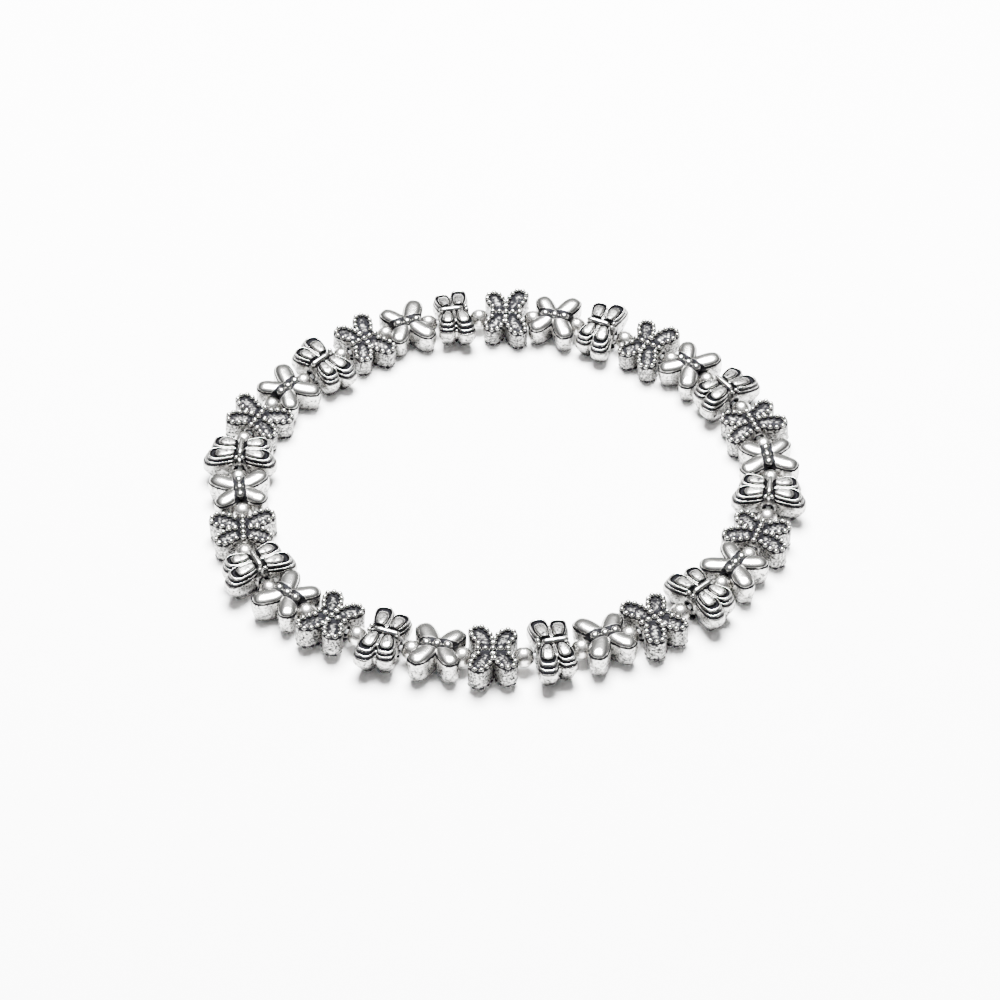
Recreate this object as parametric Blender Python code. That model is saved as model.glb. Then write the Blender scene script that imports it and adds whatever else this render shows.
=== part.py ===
"""Stretch bracelet lying flat: cast butterfly beads and round spacer beads on one elastic ring.

Lengths at the top are in millimetres. X and Y lie in the surface that the bracelet rests on, +Z is up,
and the origin is on that surface, under the middle of the bracelet.
"""

import math
from collections import namedtuple

import bmesh
import bpy
import numpy as np
from mathutils import Matrix, Vector

MM = 0.001

# Elastic ring and round spacers
CORD_DIAMETER = 0.6
CORD_SIDES = 10
SPACER_DIAMETER = 2.5
SPACER_RING_ANGLES = (-30.0, 30.0)
# The ball's rings stand out a little, so that its flat bands have the ball's mean width
SPACER_RING_SWELL = 1.07
CORD_CLEARANCE = 0.2
# How far a bead's middle may be above or below the elastic that runs through its bore
BORE_PLAY = 0.45
BEAD_GAP = 0.15

# Order on the string, clockwise seen from above, and how often it comes round
PATTERN = ("dotted", "plain", "carved")
REPEATS = 10
FIRST_SPACER_BEARING = 96.7

# The ring's outline: reach of the string at each bearing, as a share of its mean radius
LOOP_SHAPE = (
    # bearing in degrees, reach
    (0, 1.031),
    (20, 1.026),
    (45, 0.967),
    (70, 0.951),
    (95, 0.963),
    (120, 0.986),
    (145, 0.994),
    (168, 1.062),
    (190, 1.036),
    (208, 1.085),
    (228, 1.022),
    (258, 0.955),
    (288, 0.939),
    (312, 0.966),
    (338, 1.017),
)

# How far each bead has rolled about the string, in degrees; a plus sign lifts the wings outside the ring
ROLLS = (
    # dotted, plain, carved
    (8, 8, 6),
    (8, 8, -2),
    (7, 3, 2),
    (2, 2, 3),
    (4, 5, 4),
    (6, 6, 4),
    (7, 3, 3),
    (0, 0, 2),
    (6, 6, 5),
    (7, 6, -4),
)
# The beads strung with their heads the other way
TURNED_ROUND = ("carved_butterfly_07", "carved_butterfly_08")

# A wing seen from above: it runs from its root by the body to its tip. x is along the string, towards the
# head, and y is out to the side. bulge moves the widest place towards the tip.
Wing = namedtuple("Wing", "root tip half_width bulge sections")
# A section of a wing: how far it is drawn in from the outline, and its height, as shares
Section = namedtuple("Section", "inset height")
# A section of the body: where along it, and how high its ridge stands, as shares
Rib = namedtuple("Rib", "along ridge")
Bead = namedtuple(
    "Bead", "body_length body_half_width ridge_half_width half_height underside_inset ribs wings colour"
)

PILLOW = (Section(0.0, 0.50), Section(0.22, 0.84), Section(0.68, 0.97))
DISH = (Section(0.0, 0.95), Section(0.30, 0.74))
TERRACE = (Section(0.0, 0.30), Section(0.14, 0.64), Section(0.36, 0.97))

BEADS = {
    "dotted": Bead(
        body_length=4.45,
        body_half_width=1.3,
        ridge_half_width=0.34,
        half_height=1.7,
        underside_inset=0.05,
        ribs=(Rib(0.0, 0.72), Rib(0.08, 0.96), Rib(0.92, 0.96), Rib(1.0, 0.72)),
        wings=(
            Wing((0.35, 0.25), (2.25, 4.0), 1.38, 0.25, DISH),
            Wing((-0.35, 0.25), (-2.35, 3.45), 1.32, 0.25, DISH),
        ),
        colour=(0.55, 0.55, 0.54),
    ),
    "plain": Bead(
        body_length=3.25,
        body_half_width=1.3,
        ridge_half_width=0.42,
        half_height=1.85,
        underside_inset=0.15,
        ribs=(Rib(0.0, 0.92), Rib(1.0, 0.92)),
        wings=(
            Wing((0.15, 0.25), (2.45, 3.55), 1.3, 0.15, PILLOW),
            Wing((-0.15, 0.25), (-2.6, 3.05), 1.2, 0.15, PILLOW),
        ),
        colour=(0.66, 0.66, 0.65),
    ),
    "carved": Bead(
        body_length=4.15,
        body_half_width=1.3,
        ridge_half_width=0.42,
        half_height=2.2,
        underside_inset=0.36,
        ribs=(Rib(0.0, 0.62), Rib(0.12, 0.98), Rib(0.88, 0.98), Rib(1.0, 0.62)),
        wings=(
            Wing((0.7, 0.2), (1.4, 4.65), 1.48, 0.1, TERRACE),
            Wing((-0.7, 0.2), (-1.45, 3.9), 1.4, 0.1, TERRACE),
        ),
        colour=(0.50, 0.50, 0.49),
    ),
}
WING_SIDES = 8
BORE_SIDES = 6
# How high the body's sides stand, as a share of its ridge
BODY_SIDE_SHARE = 0.5
# Fore wings stand this share prouder than hind ones, so no two tops lie in one plane
FORE_WING_LIFT = 0.015
SHARP_ANGLE = 35.0
# Points nearer than this after the Booleans are one point
MERGE_DISTANCE = 0.004


def clear_scene():
    for old in list(bpy.data.objects):
        bpy.data.objects.remove(old, do_unlink=True)


def silver(name, colour, roughness):
    material = bpy.data.materials.new(name)
    material.use_nodes = True
    shader = material.node_tree.nodes["Principled BSDF"]
    shader.inputs["Base Color"].default_value = (*colour, 1.0)
    shader.inputs["Metallic"].default_value = 1.0
    shader.inputs["Roughness"].default_value = roughness
    material.diffuse_color = (*colour, 1.0)
    return material


def add_object(name, mesh):
    made = bpy.data.objects.new(name, mesh)
    bpy.context.scene.collection.objects.link(made)
    return made


def skin_rings(rings, closed=False):
    """A mesh of quads between rings of equally many points; open ends are capped."""
    count = len(rings[0])
    points = [point for ring in rings for point in ring]
    faces = []
    spans = len(rings) if closed else len(rings) - 1
    for i in range(spans):
        low, high = i * count, (i + 1) % len(rings) * count
        for j in range(count):
            k = (j + 1) % count
            faces.append((low + j, low + k, high + k, high + j))
    if not closed:
        faces.append(tuple(reversed(range(count))))
        faces.append(tuple((len(rings) - 1) * count + j for j in range(count)))
    mesh = bpy.data.meshes.new("skin")
    mesh.from_pydata([tuple(p) for p in points], [], faces)
    shape = bmesh.new()
    shape.from_mesh(mesh)
    bmesh.ops.recalc_face_normals(shape, faces=shape.faces)
    shape.to_mesh(mesh)
    shape.free()
    return mesh


def wing_outline(wing):
    """A pear outline: an ellipse from root to tip, made wider on the tip's side."""
    root, tip = np.array(wing.root), np.array(wing.tip)
    axis = tip - root
    side = np.array((-axis[1], axis[0])) / np.linalg.norm(axis)
    turns = 2 * math.pi * (np.arange(WING_SIDES) + 0.5) / WING_SIDES
    along = (1 + np.cos(turns)) / 2
    across = wing.half_width * np.sin(turns) * (1 + wing.bulge * np.cos(turns))
    return root + along[:, None] * axis + across[:, None] * side


def wing_mesh(bead, wing, lift, mirror):
    """A closed shell of rings drawn in from the outline. Its wall leans in a little to a flat underside."""
    outline = wing_outline(wing) * (1, mirror)
    middle = outline.mean(0)
    upper = [(s.inset, s.height * bead.half_height * (1 + lift)) for s in wing.sections]
    levels = [(bead.underside_inset, -max(height for _, height in upper))] + upper
    rings = []
    for inset, height in levels:
        ring = middle + (outline - middle) * (1 - inset)
        rings.append([(x * MM, y * MM, height * MM) for x, y in ring])
    return skin_rings(rings)


def body_mesh(bead):
    """The body along the string: an eight-cornered section whose ridge rises and falls."""
    rings = []
    for rib in bead.ribs:
        x = (rib.along - 0.5) * bead.body_length
        ridge = rib.ridge * bead.half_height
        wide, narrow = bead.body_half_width, bead.ridge_half_width
        shoulder = BODY_SIDE_SHARE * ridge
        corners = [(wide, shoulder), (narrow, ridge), (-narrow, ridge), (-wide, shoulder)]
        corners += [(-wide, -shoulder), (-narrow, -ridge), (narrow, -ridge), (wide, -shoulder)]
        rings.append([(x * MM, y * MM, z * MM) for y, z in corners])
    return skin_rings(rings)


def bore_mesh(length):
    radius = (CORD_DIAMETER / 2 + CORD_CLEARANCE + BORE_PLAY) / math.cos(math.pi / BORE_SIDES)
    turns = [2 * math.pi * (j + 0.5) / BORE_SIDES for j in range(BORE_SIDES)]
    rings = []
    for x in (-length, length):
        rings.append([(x * MM, radius * math.cos(t) * MM, radius * math.sin(t) * MM) for t in turns])
    return skin_rings(rings)


def combine(base, tool, operation):
    modifier = base.modifiers.new(operation.lower(), "BOOLEAN")
    modifier.operation = operation
    modifier.solver = "EXACT"
    modifier.object = tool
    tool.hide_render = True
    tool.display_type = "WIRE"


def bead_mesh(kind):
    """Body and four wings joined into one solid, then bored through for the elastic."""
    bead = BEADS[kind]
    base = add_object(kind + "_base", body_mesh(bead))
    tools = []
    for wing, lift in zip(bead.wings, (FORE_WING_LIFT, 0.0)):
        for mirror in (1, -1):
            tools.append(add_object(kind + "_wing", wing_mesh(bead, wing, lift, mirror)))
            combine(base, tools[-1], "UNION")
    tools.append(add_object(kind + "_bore", bore_mesh(bead.body_length)))
    combine(base, tools[-1], "DIFFERENCE")
    seen = bpy.context.evaluated_depsgraph_get()
    mesh = bpy.data.meshes.new_from_object(base.evaluated_get(seen))
    mesh.name = kind
    for used in [base, *tools]:
        bpy.data.objects.remove(used, do_unlink=True)
    shape = bmesh.new()
    shape.from_mesh(mesh)
    bmesh.ops.remove_doubles(shape, verts=shape.verts, dist=MERGE_DISTANCE * MM)
    bmesh.ops.triangulate(shape, faces=shape.faces)
    shape.to_mesh(mesh)
    shape.free()
    mesh.shade_smooth()
    mesh.set_sharp_from_angle(angle=math.radians(SHARP_ANGLE))
    return mesh


def loop_reach(bearing):
    """Reach at a bearing in degrees, by a smooth curve through the rows of LOOP_SHAPE."""
    rows = [(b - 360, r) for b, r in LOOP_SHAPE] + list(LOOP_SHAPE) + [(b + 360, r) for b, r in LOOP_SHAPE]
    bearing %= 360
    i = max(n for n, row in enumerate(rows) if row[0] <= bearing)
    (b0, r0), (b1, r1), (b2, r2), (b3, r3) = rows[i - 1 : i + 3]
    t = (bearing - b1) / (b2 - b1)
    slope_1 = (r2 - r0) / (b2 - b0) * (b2 - b1)
    slope_2 = (r3 - r1) / (b3 - b1) * (b2 - b1)
    blend = (2 * t**3 - 3 * t**2 + 1) * r1 + (3 * t**2 - 2 * t**3) * r2
    return blend + (t**3 - 2 * t**2 + t) * slope_1 + (t**3 - t**2) * slope_2


def loop_point(bearing, mean_radius):
    reach = mean_radius * loop_reach(bearing)
    turn = math.radians(bearing)
    return Vector((reach * math.cos(turn), reach * math.sin(turn), 0))


def pitch_of(kind):
    return BEADS[kind].body_length + SPACER_DIAMETER + 2 * BEAD_GAP


def lay_spacers(mean_radius):
    """Bearings of the spacers, each a pitch from the last, and how far the last pitch misses the first."""
    bearings = [FIRST_SPACER_BEARING]
    for kind in PATTERN * REPEATS:
        here = loop_point(bearings[-1], mean_radius)
        low, high = bearings[-1] - 40, bearings[-1]
        for _ in range(40):
            middle = (low + high) / 2
            far = (loop_point(middle, mean_radius) - here).length > pitch_of(kind)
            low, high = (middle, high) if far else (low, middle)
        bearings.append((low + high) / 2)
    return bearings[:-1], bearings[-1] - (FIRST_SPACER_BEARING - 360)


def close_loop():
    """The mean radius at which the last bead just meets the first spacer."""
    whole = sum(pitch_of(kind) for kind in PATTERN * REPEATS)
    low, high = 0.8 * whole / (2 * math.pi), 1.2 * whole / (2 * math.pi)
    for _ in range(50):
        middle = (low + high) / 2
        _, miss = lay_spacers(middle)
        low, high = (middle, high) if miss < 0 else (low, middle)
    return (low + high) / 2


def bead_turn(start, end, roll, turned_round):
    """Rotation of a bead whose string runs from start to end: X along it, Z up, then rolled about it."""
    along = (end - start).normalized()
    side = Vector((0, 0, 1)).cross(along)
    upright = Matrix((along, side, Vector((0, 0, 1)))).transposed()
    rolled = upright @ Matrix.Rotation(math.radians(roll), 3, "X")
    return rolled @ Matrix.Rotation(math.pi, 3, "Z") if turned_round else rolled


def rest_height(mesh, turn):
    """How high a bead's middle is when its lowest point is on the surface."""
    return -min((turn @ corner.co).z for corner in mesh.vertices) / MM


def string_mesh(spacers):
    """The elastic ring with the spacers on it: rings of one tube that swells to a ball at each spacer."""
    cord, ball = CORD_DIAMETER / 2, SPACER_DIAMETER / 2
    end_angle = math.degrees(math.acos(cord / ball))
    rings = []
    for i, centre in enumerate(spacers):
        before = (centre - spacers[i - 1]).normalized()
        after = (spacers[(i + 1) % len(spacers)] - centre).normalized()
        straight = (before + after).normalized()
        for angle in (-end_angle, *SPACER_RING_ANGLES, end_angle):
            axis = before if angle == -end_angle else after if angle == end_angle else straight
            side = Vector((0, 0, 1)).cross(axis).normalized()
            up = axis.cross(side)
            swell = 1.0 if abs(angle) == end_angle else SPACER_RING_SWELL
            radius = ball * math.cos(math.radians(angle)) * swell
            middle = centre + axis * ball * math.sin(math.radians(angle))
            ring = []
            for j in range(CORD_SIDES):
                turn = 2 * math.pi * (j + 0.5) / CORD_SIDES
                ring.append((middle + radius * (math.cos(turn) * side + math.sin(turn) * up)) * MM)
            rings.append(ring)
    mesh = skin_rings(rings, closed=True)
    mesh.shade_smooth()
    mesh.set_sharp_from_angle(angle=math.radians(SHARP_ANGLE))
    return mesh


def centre_on_surface(objects):
    """Moves the whole bracelet so that the middle of its box's bottom is the origin."""
    bpy.context.view_layer.update()
    corners = np.array([made.matrix_world @ v.co for made in objects for v in made.data.vertices])
    low, high = corners.min(0), corners.max(0)
    shift = Vector(((low[0] + high[0]) / 2, (low[1] + high[1]) / 2, low[2]))
    for made in objects:
        made.location -= shift


def main():
    clear_scene()
    mean_radius = close_loop()
    bearings, _ = lay_spacers(mean_radius)
    spacers = [loop_point(bearing, mean_radius) for bearing in bearings]
    meshes = {kind: bead_mesh(kind) for kind in PATTERN}
    for kind in PATTERN:
        meshes[kind].materials.append(silver(kind + "_antique_silver", BEADS[kind].colour, 0.35))

    beads = []
    for i, (kind, roll) in enumerate(pair for row in ROLLS for pair in zip(PATTERN, row)):
        name = f"{kind}_butterfly_{i // len(PATTERN) + 1:02d}"
        start, end = spacers[i], spacers[(i + 1) % len(spacers)]
        turn = bead_turn(start, end, roll, name in TURNED_ROUND)
        made = add_object(name, meshes[kind])
        made.rotation_euler = turn.to_euler()
        made.location = (start + end) / 2 * MM
        beads.append((made, rest_height(meshes[kind], turn)))

    # The elastic is as low as the highest bead lets it be; beads with room to spare hang from it
    string_height = max(rest for _, rest in beads) - BORE_PLAY
    for made, rest in beads:
        made.location.z = max(rest, string_height - BORE_PLAY) * MM
    for spacer in spacers:
        spacer.z = string_height

    string = add_object("spacer_string", string_mesh(spacers))
    string.data.materials.append(silver("polished_silver", (0.78, 0.78, 0.77), 0.2))
    centre_on_surface([made for made, _ in beads] + [string])


main()
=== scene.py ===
# %% [markdown]
# # A stretch bracelet of cast butterfly beads
# The real bracelet is a loop of elastic with sixty small beads on it: thirty cast butterflies in three
# patterns, and a polished round spacer between each two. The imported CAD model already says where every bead
# lies, so this lesson takes each bead's place from it and adds the detail that the plain solids leave out.
# Shapes are worked out in millimetres with numpy, and turned to metres when they go into a mesh.

# %% Load the frame
import math
from collections import namedtuple

import bmesh
import bpy
import numpy as np
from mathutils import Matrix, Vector


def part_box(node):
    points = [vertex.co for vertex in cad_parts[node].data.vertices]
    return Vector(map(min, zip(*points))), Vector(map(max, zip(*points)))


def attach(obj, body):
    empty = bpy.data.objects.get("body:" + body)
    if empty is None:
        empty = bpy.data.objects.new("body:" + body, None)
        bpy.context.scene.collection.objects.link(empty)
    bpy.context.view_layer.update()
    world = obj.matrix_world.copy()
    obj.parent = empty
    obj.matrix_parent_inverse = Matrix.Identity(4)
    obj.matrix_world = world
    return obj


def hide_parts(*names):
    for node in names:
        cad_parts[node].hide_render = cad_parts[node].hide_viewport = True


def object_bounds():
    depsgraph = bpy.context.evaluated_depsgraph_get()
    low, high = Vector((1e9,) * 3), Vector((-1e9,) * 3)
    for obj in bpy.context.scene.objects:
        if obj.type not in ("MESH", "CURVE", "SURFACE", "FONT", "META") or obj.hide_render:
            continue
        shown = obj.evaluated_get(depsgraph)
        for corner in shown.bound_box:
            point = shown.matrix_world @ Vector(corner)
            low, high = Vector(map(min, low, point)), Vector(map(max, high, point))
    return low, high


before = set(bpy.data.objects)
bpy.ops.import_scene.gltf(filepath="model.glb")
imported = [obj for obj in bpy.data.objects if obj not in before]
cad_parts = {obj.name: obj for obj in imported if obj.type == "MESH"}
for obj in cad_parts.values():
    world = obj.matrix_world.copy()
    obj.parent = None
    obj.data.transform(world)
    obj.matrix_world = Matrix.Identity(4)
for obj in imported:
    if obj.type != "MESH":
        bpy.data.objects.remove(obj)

cad_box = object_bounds()
MM = 0.001
PATTERN = ("dotted", "plain", "carved")
REPEATS = 10
BEAD_NAMES = [f"{kind}_butterfly_{turn + 1:02d}" for turn in range(REPEATS) for kind in PATTERN]
# The beads strung with their heads the other way
TURNED_ROUND = ("carved_butterfly_07", "carved_butterfly_08")
cad_sides = [round(side / MM, 1) for side in cad_box[1] - cad_box[0]]
print(len(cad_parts), "CAD nodes in a box of", cad_sides, "mm")

# %% [markdown]
# ## Where the beads lie
# Every bead hangs between two spacers, so the middles of the thirty spacers give the route of the string.
# These places could be typed in as a list, but then they would go wrong as soon as the CAD changed, so they
# are measured. The CAD string is a tube that swells to a ball at each spacer, and each ball has two highest
# corners, one on either side of its middle. Their mean is the spacer's middle. A bead's roll about the string
# comes from how its solid is spread: it is wider than it is tall, so its widest direction is its wings'.

# %% Read the route from the CAD string
# Highest corners of the balls are level to within this, in mm
LEVEL = 0.02


def node_triangles(name):
    """Corners of a CAD node's triangles in millimetres, as an array of triangle, corner and axis."""
    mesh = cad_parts[name].data
    points = np.empty(len(mesh.vertices) * 3)
    mesh.vertices.foreach_get("co", points)
    mesh.calc_loop_triangles()
    corners = np.empty(len(mesh.loop_triangles) * 3, dtype=np.int32)
    mesh.loop_triangles.foreach_get("vertices", corners)
    return points.reshape(-1, 3)[corners].reshape(-1, 3, 3) / MM


def spacer_middles():
    """Middles of the spacers, clockwise from the one before the first bead.

    Each is the mean of two neighbouring highest corners, at half the height of the string.
    """
    corners = np.unique(np.round(node_triangles("spacer_string").reshape(-1, 3), 3), axis=0)
    low, high = corners[:, 2].min(), corners[:, 2].max()
    tops = corners[corners[:, 2] > high - LEVEL]
    tops = tops[np.argsort(-np.arctan2(tops[:, 1], tops[:, 0]))]
    steps = np.linalg.norm(tops - np.roll(tops, -1, axis=0), axis=1)
    if steps[0] > steps[1]:
        tops = np.roll(tops, -1, axis=0)
    middles = tops.reshape(-1, 2, 3).mean(axis=1)
    middles[:, 2] = (low + high) / 2
    first = sum(np.array(corner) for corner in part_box(BEAD_NAMES[0])) / 2 / MM
    halfway = (middles + np.roll(middles, -1, axis=0)) / 2
    start = np.argmin(np.linalg.norm((halfway - first)[:, :2], axis=1))
    return np.roll(middles, -start, axis=0)


SPACERS = spacer_middles()
NEXT_SPACERS = np.roll(SPACERS, -1, axis=0)
string_length = np.linalg.norm(NEXT_SPACERS - SPACERS, axis=1).sum()
print(len(SPACERS), "spacers on", round(string_length, 1), "mm of string,", round(SPACERS[0, 2], 2), "mm up")

# %% Read how far each bead has rolled


def roll_about_string(name, along):
    """Angle of the solid's widest direction above level, from the second moments of its surface.

    For a triangle of area A with corners p about the middle and corner sum s, the moment is
    A / 12 times (the sum of p p' plus s s'). The principal angle is half of atan2(2 yz, yy - zz).
    """
    triangles = node_triangles(name)
    areas = np.linalg.norm(
        np.cross(triangles[:, 1] - triangles[:, 0], triangles[:, 2] - triangles[:, 0]), axis=1) / 2
    middle = (triangles.mean(axis=1) * areas[:, None]).sum(axis=0) / areas.sum()
    side = np.array((-along[1], along[0], 0.0))
    flat = np.stack(((triangles - middle) @ side, (triangles - middle)[..., 2]), axis=-1)
    total = flat.sum(axis=1)
    moment = np.einsum("t,tci,tcj->ij", areas, flat, flat) + np.einsum("t,ti,tj->ij", areas, total, total)
    return 0.5 * math.atan2(2 * moment[0, 1], moment[0, 0] - moment[1, 1])


def bead_axes(number):
    """Middle of a bead, and its own axes as columns: along the string, out to the side, and up."""
    name = BEAD_NAMES[number]
    start, end = SPACERS[number], NEXT_SPACERS[number]
    along = (end - start) / np.linalg.norm(end - start)
    roll = roll_about_string(name, along)
    level_side, up = np.array((-along[1], along[0], 0.0)), np.array((0.0, 0.0, 1.0))
    side = math.cos(roll) * level_side + math.sin(roll) * up
    top = math.cos(roll) * up - math.sin(roll) * level_side
    heading = -1 if name in TURNED_ROUND else 1
    return (start + end) / 2, np.stack((heading * along, heading * side, top), axis=1), math.degrees(roll)


print("rolls in degrees:", [round(bead_axes(number)[2], 1) for number in range(len(BEAD_NAMES))])

# %% [markdown]
# ## Tools for shapes
# A casting like this looks like a pile of simple closed forms melted together: wings, a body and granules.
# Sculpting it by hand would be slow and different on every bead, and Booleans on hundreds of granules are
# fragile. So the forms stay a pile of closed shells that pass into each other, and the joints do not show.
# Each form is a grid of points. Every point also carries two numbers: patina and shade, which is how
# black the antique finish is there, with painted shade added round the body, under the carved flange and
# round the spacers' holes, and pits, which is how rough the cast skin is.

# %% Shells of points
# Points in millimetres, faces as rows of four corners, and patina with painted shade, and pits, from 0 to 1
# at each point


def shell(points, faces, patina_and_shade, pits):
    points = np.asarray(points, dtype=float).reshape(-1, 3)
    spread = np.ones(len(points))
    return {"points": points, "faces": np.asarray(faces, dtype=int).reshape(-1, 4),
            "patina_and_shade": spread * np.ravel(patina_and_shade), "pits": spread * np.ravel(pits)}


def grid_faces(rings, sides, joined):
    """Faces between rings of points, each ring closed; joined also ties the last ring to the first."""
    ring = np.arange(rings if joined else rings - 1)[:, None]
    side = np.arange(sides)[None, :]
    beside, above = (side + 1) % sides, (ring + 1) % rings
    return np.stack((ring * sides + side, ring * sides + beside,
                     above * sides + beside, above * sides + side), axis=-1).reshape(-1, 4)


def pile(*shells):
    """Several shells as one, with each one's faces counted on from the last one's points."""
    starts = np.cumsum([0] + [len(part["points"]) for part in shells[:-1]])
    return {key: np.concatenate([part[key] + (start if key == "faces" else 0)
                                 for part, start in zip(shells, starts)]) for key in shells[0]}


def mirrored(part, axis):
    """The same shell on the other side of the middle."""
    flipped = dict(part)
    flipped["points"] = part["points"] * [-1 if k == axis else 1 for k in range(3)]
    return flipped


# %% Balls and beads of metal


def balls(middles, radii, sides=10, bands=6):
    """Ellipsoids: x, y, z are the radii times sin(v) cos(u), sin(v) sin(u), cos(v), with poles on z.

    Patina is 0 over the crown and rises towards the foot, where a granule meets its bed: with z = cos(v) it
    is 0.9 times the power 1.3 of (0.62 - z) / 0.5, kept between 0 and 1.
    """
    middles, radii = np.atleast_2d(middles), np.broadcast_to(radii, np.atleast_2d(middles).shape)
    turn = 2 * np.pi * np.arange(sides) / sides
    tilt = np.pi * np.linspace(0.0, 1.0, bands + 1)
    unit = np.stack((np.sin(tilt)[:, None] * np.cos(turn), np.sin(tilt)[:, None] * np.sin(turn),
                     np.broadcast_to(np.cos(tilt)[:, None], (bands + 1, sides))), axis=-1).reshape(-1, 3)
    one = grid_faces(bands + 1, sides, False)
    points = middles[:, None, :] + radii[:, None, :] * unit[None, :, :]
    faces = one[None, :, :] + (np.arange(len(middles)) * len(unit))[:, None, None]
    patina_and_shade = 0.9 * np.clip((0.62 - unit[:, 2]) / 0.5, 0, 1) ** 1.3
    return shell(points, faces, np.tile(patina_and_shade, len(middles)), 0.0)


def lathe(rows, sides=32, patina_and_shade=0.0, pits=0.0):
    """A drilled form about the string: each row is x, half width and half height.

    A point is x, half width times cos(u), half height times sin(u). The last row joins the first, so rows
    that run out over the form and end at the bore give a skin with a hole through it.
    """
    rows = np.asarray(rows, dtype=float)
    turn = 2 * np.pi * np.arange(sides) / sides
    points = np.stack((np.broadcast_to(rows[:, :1], (len(rows), sides)),
                       rows[:, 1:2] * np.cos(turn), rows[:, 2:3] * np.sin(turn)), axis=-1)
    spread = np.broadcast_to(np.asarray(patina_and_shade, dtype=float).reshape(-1, 1), (len(rows), sides))
    return shell(points, grid_faces(len(rows), sides, True), spread, pits)


print("one granule has", len(balls((0, 0, 0), 1)["faces"]), "faces, as there are hundreds of them")

# %% [markdown]
# ## Wings
# A cast wing is a low relief with upright walls. It could be an image used as a height map, but real steps
# have steep sides that a height map smears, so each wing is built from rings. Seen from above it is a drop:
# a row of circles from a small one at the root to a bigger one at the tip. Drawing the outline in towards the
# line of the circles' middles gives the rims, grooves and domes, which follow the edge as they do on the real
# beads. A table of rows says how far in and how high each ring is, and how black it is there: the finish,
# and on the carved bead's underside flank painted shade.

# %% Wing surface
# A wing seen from above, in mm: its two ends, with x along the string and y out to the side, the radii of its
# end circles, how soon it gets wide, how far the tip is drawn out, and how round its end is
Drop = namedtuple("Drop", "root tip root_radius tip_radius fullness point blunt")
# The painted shade, partly oxide, left in the corners round the body fades out over this distance, in mm
CORNER_SHADE_FADE = 0.3
# The cast skin's pits fade out over this share of the radius, from the wall inwards
PIT_SHARE = 0.12


def outline(form, turn):
    """Spine ends, shares, radii and directions of a drop at the angles turn.

    With c = cos(turn) and fullness f, s = (1 + c (1 + f (1 - c c))) / 2 runs along the spine, which joins the
    middles of the root's and the tip's circles. The radius goes with s, and grows by point at the very tip.
    The directions are cosine and sine to the power of blunt, which is 1 for a round end and less for a
    square one.
    """
    root, tip, root_radius, tip_radius, fullness, point, blunt = form
    root, tip = np.array(root), np.array(tip)
    axis = (tip - root) / np.linalg.norm(tip - root)
    across = np.array((-axis[1], axis[0]))
    cosine = np.cos(turn)
    share = np.clip((1 + cosine * (1 + fullness * (1 - cosine**2))) / 2, 0, 1)
    root, tip = root + root_radius * axis, tip - (tip_radius + point) * axis
    radius = root_radius + share * (tip_radius - root_radius) + point * np.clip(cosine, 0, 1) ** 6
    sine = np.sin(turn)
    ways = (np.sign(cosine) * np.abs(cosine)**blunt)[:, None] * axis
    ways = ways + (np.sign(sine) * np.abs(sine)**blunt)[:, None] * across
    return root, tip, share, radius, ways


def wing(form, half_height, rows, draft, gather=0.0, sides=64, under=None, shaded_bed=0.0):
    """A closed relief on a drop-shaped outline: each ring point is spine + radius (1 - inset) direction.

    The underside repeats the rows below the middle, or has rows of its own, and is drawn in by draft, which
    is the slope that lets a casting leave its mould. gather shortens the spine from the tip's end, so that
    the steps are broad at the tip and narrow beside it. Nearer to the string than shaded_bed, the corners
    round the body are blackened, partly as oxide and partly as painted shade.
    """
    rows = np.array(rows)
    under = np.array(rows if under is None else under)[::-1] * (1, -1, 1)
    under = under[under[:, 1] < rows[0, 1] - 0.001]
    under[:, 0] += draft * (1 - under[:, 0]) * -under[:, 1]
    rows = np.concatenate((under, rows))
    root, tip, share, radius, ways = outline(form, 2 * np.pi * (np.arange(sides) + 0.5) / sides)
    drawn = 1 - gather * rows[:, :1]
    spine = root + (share * drawn)[..., None] * (tip - root)
    radius = radius * (1 - rows[:, :1])
    ground = spine + radius[..., None] * ways
    height = np.broadcast_to(rows[:, 1:2] * half_height, radius.shape)
    points = np.concatenate((ground, height[..., None]), axis=-1)
    # Painted shade, partly oxide: the corners between the wings and the body are darkened
    corner = np.clip((shaded_bed - np.abs(ground[..., 1])) / CORNER_SHADE_FADE, 0, 1)
    patina_and_shade = np.maximum(np.broadcast_to(rows[:, 2:3], radius.shape), corner)
    pits = np.broadcast_to(np.clip(1 - rows[:, :1] / PIT_SHARE, 0, 1), radius.shape)
    return shell(points, grid_faces(len(rows), sides, False), patina_and_shade, pits)


def dome_rows(inset, height, steps, edge_patina):
    """Rows of an elliptical dome: inset goes as 1 - cos(a) and height as sin(a).

    The black at its edge is gone 22 degrees up the dome.
    """
    angle = np.radians(np.linspace(0, 90, steps))
    return [(inset + (1 - inset) * (1 - math.cos(a)), height + (1 - height) * math.sin(a),
             edge_patina * max(0.0, 1 - math.degrees(a) / 22)) for a in angle]


print("a dome in five rows:", [(round(inset, 2), round(high, 2)) for inset, high, _ in dome_rows(0, 0, 5, 0)])

# %% [markdown]
# ## Three kinds of butterfly
# All three are castings of zinc alloy with a body round the drilled hole and four wings. They could share one
# shape with different pictures on it, but in a close view the relief catches the light and throws shadows, so
# each kind has its own. Only half of each wing pair is made; the other side is its mirror image.

# %% What the beads share
# Lengths in mm
BORE_RADIUS = 0.62
# Nearer to the string than this, the wings are blackened, partly as oxide and partly as painted shade
SHADED_BED = 0.95
# Fore wings stand a little prouder than hind ones, and floors and webs lie a little lower
PROUD = 1.015
SUNK = 0.985


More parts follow.
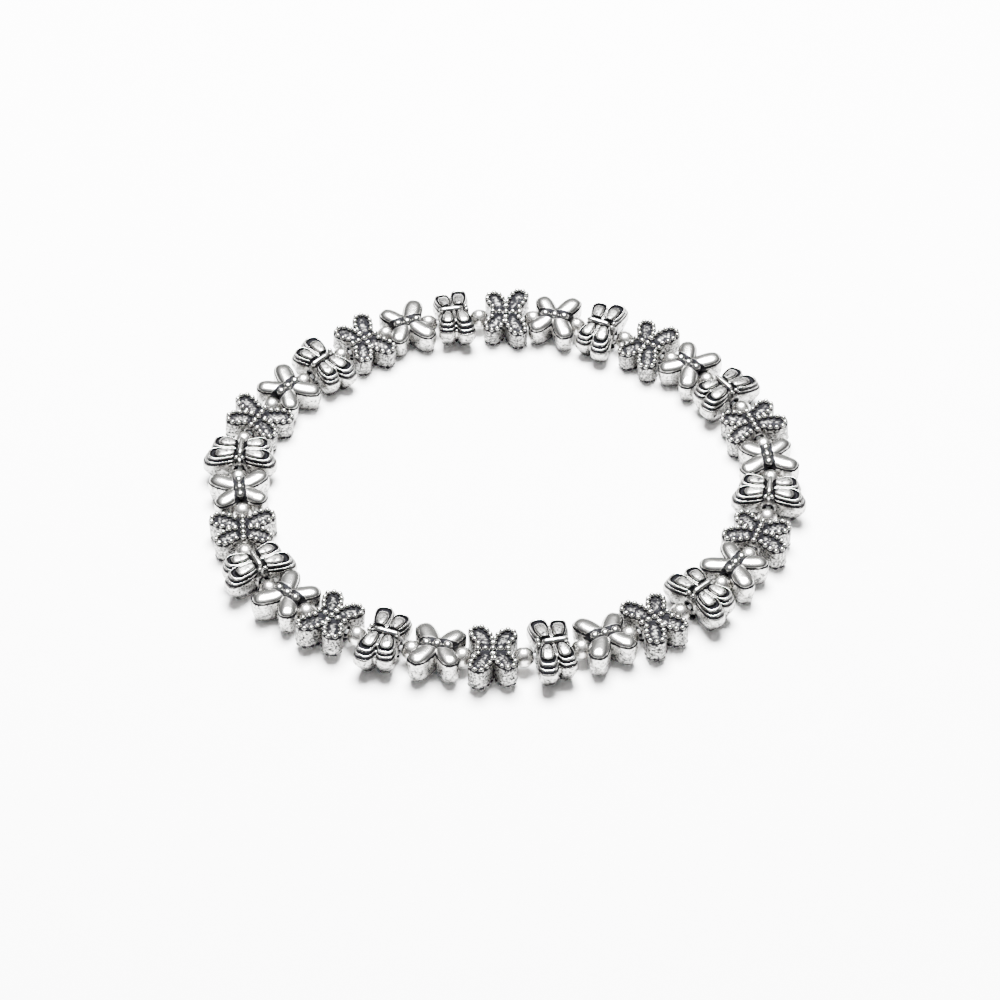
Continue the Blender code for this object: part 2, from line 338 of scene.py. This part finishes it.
def core(length, half_width, half_height):
    """The bead's middle round the bore: a barrel, drilled right through. Shares are along and across it."""
    shares = [(-0.5, 0.72), (-0.47, 0.84), (-0.38, 0.94), (-0.2, 1.0), (0.2, 1.0), (0.38, 0.94), (0.47, 0.84),
              (0.5, 0.72)]
    rows = [(-0.5 * length, BORE_RADIUS, BORE_RADIUS)]
    rows += [(x * length, share * half_width, share * half_height) for x, share in shares]
    rows += [(0.5 * length, BORE_RADIUS, BORE_RADIUS)]
    # The barrel, seen between the wings and beside the spacers, is darkened partly as oxide and partly as
    # painted shade
    return lathe(rows, patina_and_shade=[1.0] + [0.45] * len(shares) + [1.0], pits=0.7)


def both_faces(part):
    return pile(part, mirrored(part, 2))


def four_wings(fore, hind):
    return pile(fore, mirrored(fore, 1), hind, mirrored(hind, 1))


print("the bores are", 2 * BORE_RADIUS, "mm wide")

# %% [markdown]
# ### The plain one
# It has four smooth domes on tall walls, with a fine black line where each dome meets its wall, and three
# oval granules for a body. The line could be painted on, but on the real bead it is a small step that holds
# the black finish, so the table has that step. The underside is rounded and has no line.

# %% Plain butterfly
# Rows from the wall inwards: inset as a share of the radius, height as a share of the half height, and patina
# (on the carved bead's underside flank, painted shade)
PLAIN_ROWS = [
    (0.01, 0.0, 0.38), (0.0, 0.25, 0.32), (0.0, 0.5, 0.3), (0.0, 0.60, 0.35),
    (0.02, 0.635, 0.8), (0.07, 0.64, 1.0), (0.10, 0.665, 1.0),
] + dome_rows(0.085, 0.69, 14, 0.9)
PLAIN_UNDER = [
    (0.01, 0.25, 0.42), (0.03, 0.5, 0.45), (0.07, 0.72, 0.5), (0.15, 0.87, 0.55),
    (0.30, 0.95, 0.55), (0.60, 0.99, 0.5), (1.0, 1.0, 0.45),
]


def plain_bead(half=1.85, draft=0.1, granule_step=1.28, granule_depth=0.38):
    fore_form = Drop((0.3, -0.05), (2.5, 3.6), 1.16, 1.4, 0.5, 0.24, 0.78)
    hind_form = Drop((-0.3, -0.05), (-2.64, 3.1), 1.1, 1.31, 0.5, 0.24, 0.78)
    fore = wing(fore_form, half * PROUD, PLAIN_ROWS, draft, sides=56, under=PLAIN_UNDER, shaded_bed=SHADED_BED)
    hind = wing(hind_form, half, PLAIN_ROWS, draft, sides=56, under=PLAIN_UNDER, shaded_bed=SHADED_BED)
    row = np.array([(x, 0.0, half - granule_depth) for x in (-granule_step, 0.0, granule_step)])
    granules = both_faces(balls(row, (0.64, 0.6, 0.56), sides=16, bands=10))
    return pile(core(3.25, 1.1, 1.35), four_wings(fore, hind), granules)


print("a plain wing has", len(PLAIN_ROWS), "rows above and", len(PLAIN_UNDER), "below")

# %% [markdown]
# ### The dotted one
# A chain of granules runs round each wing, with a rough, darkened floor inside it, and five more granules
# make the body. They could be scattered by a modifier, but they have to sit at equal steps on the outline, so
# the same outline that makes the wing also spaces them.

# %% Dotted butterfly
# Rows as for the plain one
DOTTED_ROWS = [
    (0.03, 0.0, 0.5), (0.01, 0.3, 0.5), (0.0, 0.6, 0.5), (0.0, 0.70, 0.6), (0.03, 0.76, 0.95),
    (0.10, 0.82, 1.0), (0.22, 0.82, 1.0), (0.36, 0.78, 1.0), (0.44, 0.74, 1.0), (0.50, 0.72, 0.95),
    (0.58, 0.72, 0.85), (0.68, 0.735, 0.75), (0.76, 0.75, 0.7), (0.84, 0.76, 0.66), (0.92, 0.765, 0.65),
    (1.0, 0.77, 0.65),
]
# Granules round a wing: radius, how far in from the outline, their step, and how near the string they begin
GRANULE = 0.36
GRANULE_INSET = 0.32
GRANULE_STEP = 0.8
GRANULES_BEGIN = 0.62


def granule_chain(form, half_height):
    """Granules at equal steps along the outline drawn in by their inset, from the body round to the body."""
    root, tip, share, radius, ways = outline(form, np.linspace(-np.pi, np.pi, 400))
    line = root + share[:, None] * (tip - root) + (radius - GRANULE_INSET)[:, None] * ways
    line = line[line[:, 1] > GRANULES_BEGIN]
    run = np.concatenate(([0.0], np.cumsum(np.linalg.norm(np.diff(line, axis=0), axis=1))))
    count = int(round(run[-1] / GRANULE_STEP))
    at = (np.arange(count) + 0.5) * run[-1] / count
    return np.stack((np.interp(at, run, line[:, 0]), np.interp(at, run, line[:, 1]),
                     np.full(count, half_height - GRANULE)), axis=1)


def dotted_bead(half=1.7, draft=0.05, spine_reach=1.78, spine_depth=0.37):
    fore_form = Drop((0.35, 0.2), (2.25, 4.02), 1.25, 1.42, 0.6, 0.0, 0.94)
    hind_form = Drop((-0.35, 0.2), (-2.35, 3.47), 1.2, 1.36, 0.6, 0.0, 0.94)
    fore = wing(fore_form, half, DOTTED_ROWS, draft)
    hind = wing(hind_form, half * SUNK, DOTTED_ROWS, draft)
    chain = np.concatenate((granule_chain(fore_form, half * PROUD), granule_chain(hind_form, half)))
    chain = np.concatenate((chain, chain * (1, -1, 1)))
    spine = np.array([(x, 0.0, half - spine_depth) for x in np.linspace(-spine_reach, spine_reach, 5)])
    granules = pile(balls(chain, (GRANULE, GRANULE, GRANULE)), balls(spine, (0.42, 0.4, 0.4)))
    print("one dotted bead has", len(chain) + len(spine), "granules on a face")
    return pile(core(4.45, 1.1, 1.2), four_wings(fore, hind), both_faces(granules))


# %% [markdown]
# ### The carved one
# It is the thickest. Each wing has a flange round it and one step, and rises to a crest with an oval spot
# inside. A sculpted casting has its wings grown together, so a narrow web of the same steps joins the two
# wings of a side and their edge looks scalloped. Melting them with a remesh would round off the fine steps.
# The body is a smooth bar, with two dots side by side for a head. The underside has a rounded flank.

# %% Carved butterfly
# Rows as for the plain one, from the middle of the wall to the top of the crest, and from there to the spot
CARVED_FLANK = [
    (0.0, -0.1, 0.42), (0.0, 0.1, 0.38), (0.005, 0.24, 0.28), (0.02, 0.32, 0.08), (0.04, 0.355, 0.15),
    (0.05, 0.36, 0.9), (0.062, 0.355, 1.0), (0.072, 0.42, 1.0), (0.08, 0.50, 0.8), (0.093, 0.56, 0.15),
    (0.12, 0.585, 0.03), (0.135, 0.58, 0.7), (0.147, 0.575, 1.0), (0.157, 0.66, 1.0),
    (0.17, 0.77, 0.75), (0.185, 0.845, 0.1), (0.22, 0.875, 0.0),
]
CARVED_SPOT = [
    (0.25, 0.86, 0.4), (0.275, 0.80, 1.0), (0.33, 0.73, 1.0), (0.395, 0.74, 1.0), (0.42, 0.81, 1.0),
    (0.45, 0.88, 0.5), (0.52, 0.935, 0.15), (0.63, 0.972, 0.38), (0.80, 0.992, 0.52), (1.0, 1.0, 0.55),
]
CARVED_ROWS = CARVED_FLANK + CARVED_SPOT
# The black on this underside flank is painted shade beneath the flange
CARVED_UNDER = [
    (0.0, 0.1, 0.3), (0.02, 0.24, 0.35), (0.07, 0.4, 0.5),
    (0.14, 0.56, 0.7), (0.20, 0.72, 0.6), (0.23, 0.84, 0.1),
] + CARVED_SPOT
# The web is this many times narrower than a wing, so its steps take that much more of its radius
WEB_SHARE = 3.4
WEB_ROWS = [(min(1.0, WEB_SHARE * inset), high, patina_and_shade) for inset, high, patina_and_shade in CARVED_FLANK]
WEB_ROWS += [(1.0, 0.82, 1.0)]


def rod(start, end, radius, height, sides=20):
    """A round bar with full ends along the string: radius times the square root of 1 - |t| to the sixth."""
    share = np.sin(np.linspace(-np.pi / 2, np.pi / 2, 15))
    reach = np.sqrt(np.clip(1 - np.abs(share) ** 6, 0, 1)) * radius
    turn = 2 * np.pi * np.arange(sides) / sides
    x = (start + end) / 2 + share * (end - start) / 2
    points = np.stack((np.broadcast_to(x[:, None], (len(x), sides)), reach[:, None] * np.cos(turn),
                       height + reach[:, None] * np.sin(turn)), axis=-1)
    patina_and_shade = np.broadcast_to(np.clip(0.3 - np.sin(turn), 0, 1), (len(x), sides))
    return shell(points, grid_faces(len(x), sides, False), patina_and_shade, 0.0)


def carved_bead(half=2.2, draft=0.12, bar_depth=0.38, dot_depth=0.42):
    fore_form = Drop((0.72, 0.2), (1.38, 4.66), 0.95, 1.48, 0.5, 0.0, 0.85)
    hind_form = Drop((-0.72, 0.2), (-1.42, 3.91), 0.9, 1.42, 0.5, 0.0, 0.85)
    web_form = Drop((0.0, 0.2), (-0.05, 3.55), 0.55, 0.62, 0.2, 0.0, 0.8)
    fore = wing(fore_form, half * PROUD, CARVED_ROWS, draft, gather=1.05, sides=72,
                under=CARVED_UNDER, shaded_bed=SHADED_BED)
    hind = wing(hind_form, half, CARVED_ROWS, draft, gather=0.8, sides=72, under=CARVED_UNDER, shaded_bed=SHADED_BED)
    web = wing(web_form, half * SUNK, WEB_ROWS, 0.3, gather=0.4, sides=40)
    bar = rod(-1.95, 1.3, 0.42, half - bar_depth)
    dots = balls([(1.72, y, half - dot_depth) for y in (-0.36, 0.36)], (0.33, 0.33, 0.33), sides=14, bands=8)
    webs = pile(web, mirrored(web, 1))
    return pile(core(4.15, 1.15, 1.5), four_wings(fore, hind), webs, both_faces(pile(bar, dots)))


print("a carved wing has", len(CARVED_ROWS), "rows above and its web", len(WEB_ROWS))

# %% [markdown]
# ## From shells to meshes
# Rings that were drawn in to a line or a point leave doubled points, so these are merged, and then all faces
# are turned outwards. One master mesh is made for each kind, as the real beads of a kind come from one mould.
# Linked copies would be lighter, but each bead's points are moved to its own place instead, so that every
# object stays at the origin as the CAD nodes do.

# %% Build a mesh
# Points nearer to each other than this are one point
SAME_POINT = 0.0005 * MM


def mesh_from(name, part):
    """A smooth mesh from a shell, with patina, painted shade and pits as attributes, doubles merged, facing
    out.
    """
    faces = [tuple(dict.fromkeys(row)) for row in part["faces"].tolist()]
    mesh = bpy.data.meshes.new(name)
    mesh.from_pydata((part["points"] * MM).tolist(), [], faces)
    for key in ("patina_and_shade", "pits"):
        mesh.attributes.new(key, "FLOAT", "POINT").data.foreach_set("value", part[key])
    shape = bmesh.new()
    shape.from_mesh(mesh)
    bmesh.ops.remove_doubles(shape, verts=shape.verts, dist=SAME_POINT)
    bmesh.ops.recalc_face_normals(shape, faces=shape.faces)
    shape.to_mesh(mesh)
    shape.free()
    mesh.shade_smooth()
    return mesh


MASTERS = {kind: mesh_from(kind, make()) for kind, make in
           {"dotted": dotted_bead, "plain": plain_bead, "carved": carved_bead}.items()}
for kind, mesh in MASTERS.items():
    mesh.calc_loop_triangles()
    print(kind, "bead:", len(mesh.vertices), "points,", len(mesh.loop_triangles), "triangles")

# %% [markdown]
# ## Finishes
# The butterflies are a zinc alloy, silver-plated, dipped black and then tumbled bright. That leaves white
# metal on everything that stands out and black oxide in every groove. The black could be baked from how
# hidden each point is, but the tables of rows already know where the grooves are. So the finish below mixes
# bright metal and black by the patina that each point carries, together with painted shade round the body
# and under the carved flange, broken up with noise so that no edge is clean.
# The walls have the fine pits of the casting mould. The three kinds differ a little, as batches do.

# %% Material tools


def linear(code):
    """An sRGB hex colour as linear RGBA: ((c + 0.055) / 1.055) ** 2.4, or c / 12.92 when dark."""
    values = [int(code[k:k + 2], 16) / 255 for k in (1, 3, 5)]
    return tuple(c / 12.92 if c <= 0.04045 else ((c + 0.055) / 1.055) ** 2.4 for c in values) + (1.0,)


def add(tree, kind, links=None, values=None, **settings):
    """Adds a node: settings are its own, values fill its sockets, and links join them to outputs."""
    node = tree.nodes.new(kind)
    for key, value in settings.items():
        setattr(node, key, value)
    for key, value in (values or {}).items():
        node.inputs[key].default_value = value
    for key, source in (links or {}).items():
        tree.links.new(source, node.inputs[key])
    return node


def start_material(name):
    material = bpy.data.materials.new(name)
    material.use_nodes = True
    return material, material.node_tree, material.node_tree.nodes["Principled BSDF"]


print("half grey, #808080, is", round(linear("#808080")[0], 3), "of white in linear light")

# %% Antique silver plate


def antique_silver(name, bright, oxide_and_shade, pit_mm, grime_mm, gloss):
    """Cast, silver-plated, blackened and tumbled metal.

    The black is the patina, with painted shade round the body and under the carved flange, plus or minus a
    quarter of noise, plus 0.3 times the pits. It turns to the dark of oxide and painted shade smoothly
    between
    0.22 and 0.72. gloss is the roughness of the bright metal, and pit_mm and grime_mm are the sizes of the
    pits and of the patches of black. Real pits are about 0.1 mm, too fine to show here, so these are drawn
    coarser.
    To the eye that gives soft white highlights, broken by black that clings to the hollows.
    """
    material, tree, shader = start_material(name)
    place = add(tree, "ShaderNodeTexCoord").outputs["Object"]
    # Painted shade: besides the oxide, this attribute darkens the corners round the body and the carved
    # underside flank
    patina_and_shade = add(tree, "ShaderNodeAttribute", attribute_name="patina_and_shade").outputs["Fac"]
    pits = add(tree, "ShaderNodeAttribute", attribute_name="pits").outputs["Fac"]
    grime = add(tree, "ShaderNodeTexNoise", {"Vector": place},
                {"Scale": 1 / (grime_mm * MM), "Detail": 3.0, "Roughness": 0.6}).outputs["Fac"]
    cells = add(tree, "ShaderNodeTexVoronoi", {"Vector": place},
                {"Scale": 1 / (pit_mm * MM), "Randomness": 1.0}).outputs["Distance"]
    hollows = add(tree, "ShaderNodeMapRange", {"Value": cells},
                  {"From Min": 0.0, "From Max": 0.45, "To Min": 1.0, "To Max": 0.0}).outputs["Result"]
    rough = add(tree, "ShaderNodeMath", {0: hollows, 1: pits}, operation="MULTIPLY").outputs[0]
    swing = add(tree, "ShaderNodeMapRange", {"Value": grime},
                {"From Min": 0.3, "From Max": 0.7, "To Min": -0.25, "To Max": 0.25}).outputs["Result"]
    black = add(tree, "ShaderNodeMath", {0: patina_and_shade, 1: swing}, operation="ADD").outputs[0]
    black = add(tree, "ShaderNodeMath", {0: rough, 2: black}, {1: 0.3}, operation="MULTIPLY_ADD").outputs[0]
    amount = add(tree, "ShaderNodeMapRange", {"Value": black},
                 {"From Min": 0.22, "From Max": 0.72, "To Min": 0.0, "To Max": 1.0},
                 interpolation_type="SMOOTHSTEP").outputs["Result"]
    colour = add(tree, "ShaderNodeMix", {"Factor": amount}, data_type="RGBA")
    colour.inputs[6].default_value = linear(bright)
    colour.inputs[7].default_value = linear(oxide_and_shade)
    tree.links.new(colour.outputs[2], shader.inputs["Base Color"])
    polish = add(tree, "ShaderNodeMapRange", {"Value": amount},
                 {"From Min": 0.0, "From Max": 1.0, "To Min": gloss, "To Max": 0.6}).outputs["Result"]
    tree.links.new(polish, shader.inputs["Roughness"])
    depth = add(tree, "ShaderNodeMath", {0: rough, 2: grime}, {1: -1.6}, operation="MULTIPLY_ADD").outputs[0]
    bump = add(tree, "ShaderNodeBump", {"Height": depth}, {"Strength": 0.5, "Distance": 0.03 * MM})
    tree.links.new(bump.outputs["Normal"], shader.inputs["Normal"])
    shader.inputs["Metallic"].default_value = 1.0
    return material


# oxide_and_shade is the colour of the oxide and of the painted shade round the body and under the carved
# flange
FINISHES = {
    "dotted": antique_silver("antique_silver_plate_dotted", bright="#ACABA8", oxide_and_shade="#101012",
                             pit_mm=0.3, grime_mm=0.3, gloss=0.22),
    "plain": antique_silver("antique_silver_plate_plain", bright="#B7B6B3", oxide_and_shade="#121214",
                            pit_mm=0.34, grime_mm=0.4, gloss=0.2),
    "carved": antique_silver("antique_silver_plate_carved", bright="#AAA9A6", oxide_and_shade="#0F0F11",
                             pit_mm=0.34, grime_mm=0.35, gloss=0.22),
}
print("finishes:", [material.name for material in FINISHES.values()])

# %% [markdown]
# ### Polished silver and elastic
# The spacers are plated and barrel-polished. A perfect mirror would look drawn, so a haze of fine rubbing
# spreads their reflections a little. The elastic is clear polyurethane, drawn tight until it turns milky.

# %% Polished silver plate


def polished_silver():
    """Barrel-polished spacer beads: nearly a mirror, with the haze of fine rubbing.

    Real rubbing marks are finer than a hair, so the haze is drawn in patches of 0.8 mm, which show.
    """
    material, tree, shader = start_material("polished_silver_plate")
    place = add(tree, "ShaderNodeTexCoord").outputs["Object"]
    haze = add(tree, "ShaderNodeTexNoise", {"Vector": place},
               {"Scale": 1 / (0.8 * MM), "Detail": 4.0}).outputs["Fac"]
    gloss = add(tree, "ShaderNodeMapRange", {"Value": haze},
                {"From Min": 0.3, "From Max": 0.7, "To Min": 0.2, "To Max": 0.3}).outputs["Result"]
    tree.links.new(gloss, shader.inputs["Roughness"])
    # Painted shade: this attribute darkens each ball round its hole, where it meets the beads
    patina_and_shade = add(tree, "ShaderNodeAttribute", attribute_name="patina_and_shade").outputs["Fac"]
    colour = add(tree, "ShaderNodeMix", {"Factor": patina_and_shade}, data_type="RGBA")
    colour.inputs[6].default_value = linear("#DAD8D4")
    # The colour of the painted shade round the holes
    colour.inputs[7].default_value = linear("#2A2A2C")
    tree.links.new(colour.outputs[2], shader.inputs["Base Color"])
    bump = add(tree, "ShaderNodeBump", {"Height": haze}, {"Strength": 0.12, "Distance": 0.01 * MM})
    tree.links.new(bump.outputs["Normal"], shader.inputs["Normal"])
    shader.inputs["Metallic"].default_value = 1.0
    return material


SPACER_FINISH = polished_silver()
print("finish:", SPACER_FINISH.name)

# %% Clear elastic


def clear_elastic():
    """Clear polyurethane stretch cord, a little milky where it is drawn tight."""
    material, tree, shader = start_material("clear_polyurethane_elastic")
    place = add(tree, "ShaderNodeTexCoord").outputs["Object"]
    cloud = add(tree, "ShaderNodeTexNoise", {"Vector": place},
                {"Scale": 1 / (1.5 * MM), "Detail": 2.0}).outputs["Fac"]
    colour = add(tree, "ShaderNodeMix", {"Factor": cloud}, data_type="RGBA")
    colour.inputs[6].default_value = linear("#C9CBCC")
    colour.inputs[7].default_value = linear("#E6E7E6")
    tree.links.new(colour.outputs[2], shader.inputs["Base Color"])
    shader.inputs["Roughness"].default_value = 0.3
    return material


ELASTIC_FINISH = clear_elastic()
print("finish:", ELASTIC_FINISH.name)

# %% [markdown]
# ## Stringing the beads
# Each copy of a master is turned by its bead's own axes and lowered until it stands where its CAD solid
# stands. The printed number compares the two boxes: a small difference means that the detailed bead fills
# the space that the solid holds.

# %% Place the butterflies


def add_piece(name, mesh, material, nodes):
    """An object at the origin that rides on the root body and stands for the CAD nodes named."""
    piece = bpy.data.objects.new(name, mesh)
    bpy.context.scene.collection.objects.link(piece)
    mesh.materials.append(material)
    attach(piece, "root")
    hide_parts(*nodes)


worst = 0.0
for number, name in enumerate(BEAD_NAMES):
    kind = name.split("_")[0]
    middle, axes, _ = bead_axes(number)
    mesh = MASTERS[kind].copy()
    mesh.name = name + "_cast"
    points = np.empty(len(mesh.vertices) * 3)
    mesh.vertices.foreach_get("co", points)
    points = points.reshape(-1, 3) @ axes.T
    solid_low, solid_high = (np.array(corner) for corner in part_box(name))
    points += (*middle[:2] * MM, solid_low[2] - points[:, 2].min())
    mesh.vertices.foreach_set("co", points.ravel())
    mesh.update()
    add_piece(name + "_cast", mesh, FINISHES[kind], [name])
    gaps = np.abs((points.min(axis=0) - solid_low, points.max(axis=0) - solid_high))
    worst = max(worst, gaps.max())
print("the detailed beads differ from their solids' boxes by at most", round(worst / MM, 2), "mm")

# %% [markdown]
# ## Spacers and elastic
# The spacers are drilled balls. A UV sphere would have its poles where the hole is, so each ball is a lathe
# form about the string instead, whose rows end at the bore, with painted shade round the hole's edge. The
# elastic runs through all of them, and shows only as a glint in the narrow gaps. It could be a curve with a
# bevel, but the same rings of points do it without another kind of object.

# %% Spacer beads
SPACER_RADIUS = 1.25
SPACER_BORE = 0.42


def spacers():
    """Drilled balls: rows of radius times sin(a) and cos(a) up to the bore, turned across the string.

    The painted shade round the hole rises from 0 to 1 between 55 and 70 degrees from the middle.
    """
    reach = math.degrees(math.acos(SPACER_BORE / SPACER_RADIUS))
    angles = np.radians(np.linspace(-reach, reach, 17))
    rows = np.stack((SPACER_RADIUS * np.sin(angles),) + (SPACER_RADIUS * np.cos(angles),) * 2, axis=1)
    # Painted shade round each hole, where the ball meets the beads
    hole_shade = np.clip((np.abs(np.degrees(angles)) - 55) / 15, 0, 1)
    one = lathe(rows, sides=28, patina_and_shade=hole_shade)
    made = []
    for before, middle, after in zip(np.roll(SPACERS, 1, axis=0), SPACERS, NEXT_SPACERS):
        along = (after - before) / np.linalg.norm(after - before)
        axes = np.stack((along, (-along[1], along[0], 0.0), (0.0, 0.0, 1.0)), axis=1)
        made.append(dict(one, points=one["points"] @ axes.T + middle))
    return pile(*made)


spacer_mesh = mesh_from("round_spacer_beads", spacers())
add_piece("round_spacer_beads", spacer_mesh, SPACER_FINISH, ["spacer_string"])
spacer_mesh.calc_loop_triangles()
print("spacers:", len(spacer_mesh.loop_triangles), "triangles")

# %% Elastic


def elastic(radius=0.3, steps=12, sides=10, roundings=3):
    """A closed tube: circles square to the route, whose corners at the spacers are rounded by averaging."""
    share = np.arange(steps)[None, :, None] / steps
    route = (SPACERS[:, None, :] * (1 - share) + NEXT_SPACERS[:, None, :] * share).reshape(-1, 3)
    for _ in range(roundings):
        route = (np.roll(route, 1, axis=0) + route + np.roll(route, -1, axis=0)) / 3
    along = np.roll(route, -1, axis=0) - np.roll(route, 1, axis=0)
    along /= np.linalg.norm(along, axis=1)[:, None]
    side = np.stack((-along[:, 1], along[:, 0], np.zeros(len(along))), axis=1)
    turn = 2 * np.pi * np.arange(sides) / sides
    ring = np.cos(turn)[None, :, None] * side[:, None, :] + np.sin(turn)[None, :, None] * (0.0, 0.0, 1.0)
    return shell(route[:, None, :] + radius * ring, grid_faces(len(route), sides, True), 0.0, 0.0)


elastic_mesh = mesh_from("elastic", elastic())
add_piece("elastic", elastic_mesh, ELASTIC_FINISH, ["spacer_string"])
print("elastic:", len(elastic_mesh.vertices), "points")

# %% [markdown]
# ## Table, light and camera
# The photograph is a catalogue picture: white paper, and one soft light overhead and a little behind. Metal
# shows only what it reflects, so the surroundings matter as much as the light. They are dark below and
# between, which gives the silver its blacks, with a bright band low down for the walls and white straight
# above. An image of a studio would do the same, but a ramp from the horizon up keeps everything in view here.

# %% Floor
FLOOR_SIDE = 4.0
floor_reach = FLOOR_SIDE / 2
floor_mesh = bpy.data.meshes.new("floor")
floor_corners = [(-floor_reach, -floor_reach, 0), (floor_reach, -floor_reach, 0),
                 (floor_reach, floor_reach, 0), (-floor_reach, floor_reach, 0)]
floor_mesh.from_pydata(floor_corners, [], [(0, 1, 2, 3)])
floor = bpy.data.objects.new("floor", floor_mesh)
bpy.context.scene.collection.objects.link(floor)
# Uncoated paper is matt and nearly pure white. Its fibres are too fine to show, so the mottle is 6 mm wide
paper, paper_tree, paper_shader = start_material("white_paper")
paper_place = add(paper_tree, "ShaderNodeTexCoord").outputs["Object"]
paper_fibre = add(paper_tree, "ShaderNodeTexNoise", {"Vector": paper_place},
                  {"Scale": 1 / (6 * MM)}).outputs["Fac"]
paper_tone = add(paper_tree, "ShaderNodeMix", {"Factor": paper_fibre}, data_type="RGBA")
paper_tone.inputs[6].default_value = linear("#FBFBFB")
paper_tone.inputs[7].default_value = linear("#FFFFFF")
paper_tree.links.new(paper_tone.outputs[2], paper_shader.inputs["Base Color"])
paper_shader.inputs["Roughness"].default_value = 0.9
floor_mesh.materials.append(paper)
print("floor:", FLOOR_SIDE, "m wide, of", paper.name)

# %% Light
LIGHT_PLACE = (0.0, 0.15, 0.47)
LIGHT_SIDE = 0.26
LIGHT_POWER = 34.0


def aimed(place, target):
    """The rotation that points the -Z axis of a lamp or camera from its place to a target."""
    return (Vector(target) - Vector(place)).to_track_quat("-Z", "Y").to_euler()


light = bpy.data.lights.new("overhead_softbox", "AREA")
light.shape = "RECTANGLE"
light.size = light.size_y = LIGHT_SIDE
light.energy = LIGHT_POWER
lamp = bpy.data.objects.new("overhead_softbox", light)
lamp.location = LIGHT_PLACE
lamp.rotation_euler = aimed(LIGHT_PLACE, (0.0, 0.0, 0.0))
bpy.context.scene.collection.objects.link(lamp)
print("light:", LIGHT_POWER, "W,", LIGHT_SIDE, "m wide")

# %% Surroundings
# Tones from the horizon, 0, to straight above, 1
SKY_TONES = ((0.0, "#141416"), (0.3, "#B8B8B8"), (0.55, "#5E5E60"), (0.75, "#7A7A7C"), (1.0, "#FFFFFF"))
world = bpy.data.worlds.new("studio")
bpy.context.scene.world = world
world.use_nodes = True
sky = world.node_tree
height = add(sky, "ShaderNodeSeparateXYZ", {"Vector": add(sky, "ShaderNodeTexCoord").outputs["Generated"]})
tones = add(sky, "ShaderNodeValToRGB", {"Fac": height.outputs["Z"]})
stops = tones.color_ramp.elements
for place, tone in SKY_TONES:
    stop = stops[0] if place == 0 else stops[-1] if place == 1 else stops.new(place)
    stop.color = linear(tone)
sky.links.new(tones.outputs["Color"], sky.nodes["Background"].inputs["Color"])
sky.nodes["Background"].inputs["Strength"].default_value = 1.0
print("surroundings:", [(round(stop.position, 2), round(stop.color[0], 3)) for stop in stops])

# %% Camera
VIEW_ELEVATION = math.radians(44.6)
VIEW_DISTANCE = 321 * MM
LOOK_AT = Vector((-0.3, -4.15, 2.05)) * MM
camera = bpy.data.cameras.new("camera")
camera.lens = 92.4
camera.sensor_width = 36
camera.clip_start = 0.01
viewer = bpy.data.objects.new("camera", camera)
back = Vector((0, -math.cos(VIEW_ELEVATION), math.sin(VIEW_ELEVATION)))
viewer.location = LOOK_AT + VIEW_DISTANCE * back
viewer.rotation_euler = aimed(viewer.location, LOOK_AT)
bpy.context.scene.collection.objects.link(viewer)
bpy.context.scene.camera = viewer
print("camera:", round(VIEW_DISTANCE / MM), "mm away,", round(math.degrees(VIEW_ELEVATION), 1), "degrees up")

# %% Sizes and finish
bpy.context.view_layer.update()
print("CAD box", [[round(v / MM, 2) for v in corner] for corner in cad_box])
